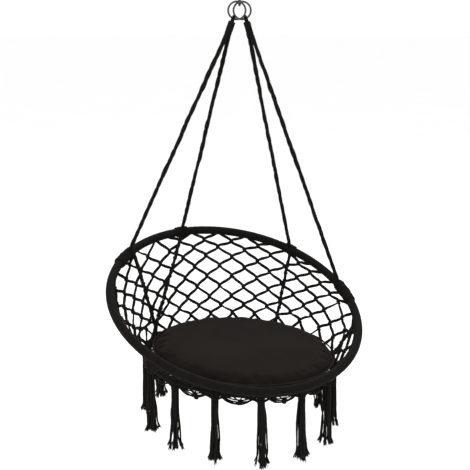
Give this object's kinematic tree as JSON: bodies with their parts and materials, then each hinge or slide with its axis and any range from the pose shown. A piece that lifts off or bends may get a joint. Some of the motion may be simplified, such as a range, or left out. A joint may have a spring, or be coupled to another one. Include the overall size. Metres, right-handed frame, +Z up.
{
  "type": "hanging macrame hammock chair",
  "caption": "Hanging macrame hammock chair: two cord-wrapped hoops joined by a knotted net, a round cushion, cord tassels, and ropes to two rings on a hook.",
  "frame": {"origin": "middle of the threaded shank of the hook, straight above the hanging point", "axes": "+Z up along the shank; the open front of the seat faces -Y; +X to the right seen from the front"},
  "size_m": [0.7883, 0.7584, 1.3664],
  "materials": {
    "black_steel": "satin",
    "hoop_steel": "satin",
    "cotton_cord": "matte",
    "cushion_fabric": "matte",
    "cushion_wadding": "matte"
  },
  "bodies": {
    "hook": {"ceiling_hook": "black_steel"},
    "rings": {"ring_left": "black_steel", "ring_right": "black_steel"},
    "crown": {"rope_eye_left": "cotton_cord", "rope_eye_right": "cotton_cord", "neck_whipping_left": "cotton_cord", "neck_whipping_right": "cotton_cord"},
    "seat": {"lashing_back_left": "cotton_cord", "lashing_back_right": "cotton_cord", "lashing_front_left": "cotton_cord", "lashing_front_right": "cotton_cord", "leg_cord_back_left": "cotton_cord", "leg_cord_back_right": "cotton_cord", "leg_cord_front_left": "cotton_cord", "leg_cord_front_right": "cotton_cord", "net_back_left": "cotton_cord", "net_back_right": "cotton_cord", "net_corner_left": "cotton_cord", "net_corner_right": "cotton_cord", "net_front": "cotton_cord", "net_left_front": "cotton_cord", "net_left_middle": "cotton_cord", "net_left_rear": "cotton_cord", "net_right_front": "cotton_cord", "net_right_rear": "cotton_cord", "rope_back_left": "cotton_cord", "rope_back_right": "cotton_cord", "rope_front_left": "cotton_cord", "rope_front_right": "cotton_cord", "seat_hoop_tube": "hoop_steel", "seat_hoop_wrap_front": "cotton_cord", "seat_hoop_wrap_left": "cotton_cord", "seat_hoop_wrap_right": "cotton_cord", "seat_web": "cotton_cord", "tassel_knots": "cotton_cord", "upper_hoop_tube": "hoop_steel", "upper_hoop_wrap_back": "cotton_cord", "upper_hoop_wrap_back_left": "cotton_cord", "upper_hoop_wrap_back_right": "cotton_cord", "upper_hoop_wrap_front_left": "cotton_cord", "upper_hoop_wrap_front_right": "cotton_cord"},
    "cushion": {"cushion_cover": "cushion_fabric", "cushion_filling": "cushion_wadding"},
    "tassel_01": {"tassel_01": "cotton_cord"},
    "tassel_02": {"tassel_02": "cotton_cord"},
    "tassel_03": {"tassel_03": "cotton_cord"},
    "tassel_04": {"tassel_04": "cotton_cord"},
    "tassel_05": {"tassel_05": "cotton_cord"},
    "tassel_06": {"tassel_06": "cotton_cord"},
    "tassel_07": {"tassel_07": "cotton_cord"},
    "tassel_08": {"tassel_08": "cotton_cord"},
    "tassel_09": {"tassel_09": "cotton_cord"},
    "tassel_10": {"tassel_10": "cotton_cord"},
    "tassel_11": {"tassel_11": "cotton_cord"},
    "tassel_12": {"tassel_12": "cotton_cord"},
    "tassel_13": {"tassel_13": "cotton_cord"},
    "tassel_14": {"tassel_14": "cotton_cord"}
  },
  "joints": [
    {"name": "swing_sideways", "type": "hinge", "parent": "hook", "child": "rings", "pos_m": [0, 0, -0.06537], "axis": [0, 1, 0], "range_deg": [-20, 20]},
    {"name": "swing_fore_aft", "type": "hinge", "parent": "rings", "child": "crown", "pos_m": [0, 0, -0.10229], "axis": [1, 0, 0], "range_deg": [-25, 25]},
    {"name": "twist", "type": "hinge", "parent": "crown", "child": "seat", "pos_m": [0, 0, -0.155], "axis": [0, 0, 1], "range_deg": [-30, 30], "stiffness_Nm_per_rad": 1},
    {"name": "cushion_lift_out", "type": "slide", "parent": "seat", "child": "cushion", "axis": [0, 0, 1], "range_m": [0, 0.25]},
    {"name": "tassel_01_sway", "type": "hinge", "parent": "seat", "child": "tassel_01", "pos_m": [0.05993, -0.30667, -1.15246], "axis": [0.9792, 0.2028, 0], "range_deg": [-25, 25]},
    {"name": "tassel_02_sway", "type": "hinge", "parent": "seat", "child": "tassel_02", "pos_m": [0.17706, -0.25304, -1.16056], "axis": [0.7943, 0.6075, 0], "range_deg": [-25, 25]},
    {"name": "tassel_03_sway", "type": "hinge", "parent": "seat", "child": "tassel_03", "pos_m": [0.25937, -0.15378, -1.16626], "axis": [0.452, 0.892, 0], "range_deg": [-25, 25]},
    {"name": "tassel_04_sway", "type": "hinge", "parent": "seat", "child": "tassel_04", "pos_m": [0.29055, -0.02856, -1.16841], "axis": [0.0202, 0.9998, 0], "range_deg": [-25, 25]},
    {"name": "tassel_05_sway", "type": "hinge", "parent": "seat", "child": "tassel_05", "pos_m": [0.26444, 0.09782, -1.16661], "axis": [-0.4156, 0.9095, 0], "range_deg": [-25, 25]},
    {"name": "tassel_06_sway", "type": "hinge", "parent": "seat", "child": "tassel_06", "pos_m": [0.1862, 0.20033, -1.16119], "axis": [-0.7691, 0.6392, 0], "range_deg": [-25, 25]},
    {"name": "tassel_07_sway", "type": "hinge", "parent": "seat", "child": "tassel_07", "pos_m": [0.07132, 0.25867, -1.15325], "axis": [-0.9703, 0.2421, 0], "range_deg": [-25, 25]},
    {"name": "tassel_08_sway", "type": "hinge", "parent": "seat", "child": "tassel_08", "pos_m": [-0.05743, 0.26127, -1.14466], "axis": [-0.9792, -0.2028, 0], "range_deg": [-25, 25]},
    {"name": "tassel_09_sway", "type": "hinge", "parent": "seat", "child": "tassel_09", "pos_m": [-0.17456, 0.20764, -1.13721], "axis": [-0.7943, -0.6075, 0], "range_deg": [-25, 25]},
    {"name": "tassel_10_sway", "type": "hinge", "parent": "seat", "child": "tassel_10", "pos_m": [-0.25687, 0.10838, -1.13197], "axis": [-0.452, -0.892, 0], "range_deg": [-25, 25]},
    {"name": "tassel_11_sway", "type": "hinge", "parent": "seat", "child": "tassel_11", "pos_m": [-0.28805, -0.01684, -1.12998], "axis": [-0.0202, -0.9998, 0], "range_deg": [-25, 25]},
    {"name": "tassel_12_sway", "type": "hinge", "parent": "seat", "child": "tassel_12", "pos_m": [-0.26194, -0.14322, -1.13164], "axis": [0.4156, -0.9095, 0], "range_deg": [-25, 25]},
    {"name": "tassel_13_sway", "type": "hinge", "parent": "seat", "child": "tassel_13", "pos_m": [-0.1837, -0.24573, -1.13663], "axis": [0.7691, -0.6392, 0], "range_deg": [-25, 25]},
    {"name": "tassel_14_sway", "type": "hinge", "parent": "seat", "child": "tassel_14", "pos_m": [-0.06882, -0.30407, -1.14394], "axis": [0.9703, -0.2421, 0], "range_deg": [-25, 25]}
  ]
}
